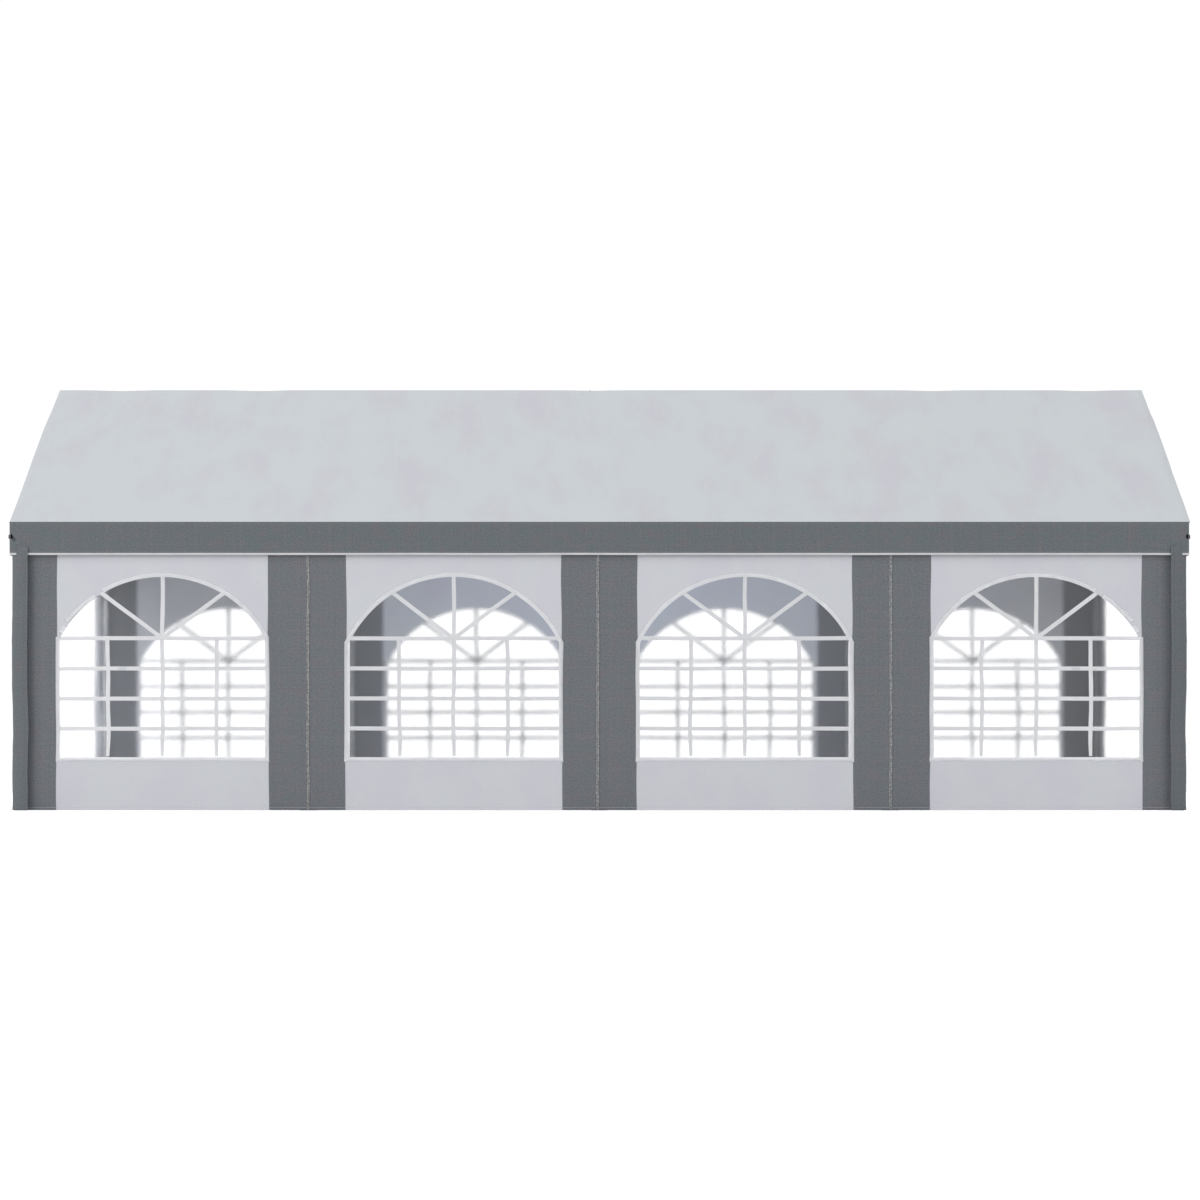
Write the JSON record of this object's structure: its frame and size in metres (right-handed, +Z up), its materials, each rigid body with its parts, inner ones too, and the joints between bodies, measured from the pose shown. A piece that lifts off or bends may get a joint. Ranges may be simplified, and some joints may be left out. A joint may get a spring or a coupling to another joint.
{
  "type": "marquee tent",
  "caption": "Long ridge-roofed garden marquee on a round steel tube frame, with a hanging valance, arched film windows along both sides and open ends with rolled-up doors.",
  "frame": {"origin": "on the ground, at the centre of the tent's plan", "axes": "+X along the long side towards the right as the picture shows it, +Y from the front side to the back side, +Z up"},
  "size_m": [8.1, 4.096, 3.13],
  "materials": {
    "steel": "zinc-coated, dull",
    "roof_sheet": "coated woven polyethylene, satin",
    "wall_sheet": "coated woven polyethylene, satin",
    "grey_sheet": "coated woven polyethylene, dark grey, satin",
    "window_film": "clear soft film with pale printed bars",
    "piping": "white binding tape",
    "black_plastic": "moulded toggles, satin"
  },
  "bodies": {
    "root": {"leg_front_1": "steel", "leg_front_2": "steel", "leg_front_3": "steel", "leg_front_4": "steel", "leg_front_5": "steel", "leg_back_1": "steel", "leg_back_2": "steel", "leg_back_3": "steel", "leg_back_4": "steel", "leg_back_5": "steel", "rafter_front_1": "steel", "rafter_front_2": "steel", "rafter_front_3": "steel", "rafter_front_4": "steel", "rafter_front_5": "steel", "rafter_back_1": "steel", "rafter_back_2": "steel", "rafter_back_3": "steel", "rafter_back_4": "steel", "rafter_back_5": "steel", "eave_rail_front": "steel", "eave_rail_back": "steel", "ridge_rail": "steel", "gable_rail_left": "steel", "gable_rail_right": "steel", "sidewall_front_1": "wall_sheet", "sidewall_front_2": "wall_sheet", "sidewall_front_3": "wall_sheet", "sidewall_front_4": "wall_sheet", "sidewall_back_1": "wall_sheet", "sidewall_back_2": "wall_sheet", "sidewall_back_3": "wall_sheet", "sidewall_back_4": "wall_sheet", "window_front_1": "window_film", "window_front_2": "window_film", "window_front_3": "window_film", "window_front_4": "window_film", "window_back_1": "window_film", "window_back_2": "window_film", "window_back_3": "window_film", "window_back_4": "window_film", "end_wall_left_front": "wall_sheet", "end_wall_left_back": "wall_sheet", "end_wall_right_front": "wall_sheet", "end_wall_right_back": "wall_sheet", "door_roll_left": "wall_sheet", "door_roll_right": "wall_sheet", "roof_cover_front": "roof_sheet", "roof_cover_back": "roof_sheet", "valance_front": "grey_sheet", "valance_back": "grey_sheet", "valance_left": "grey_sheet", "valance_right": "grey_sheet", "gable_left": "roof_sheet", "gable_right": "roof_sheet"}
  },
  "joints": []
}
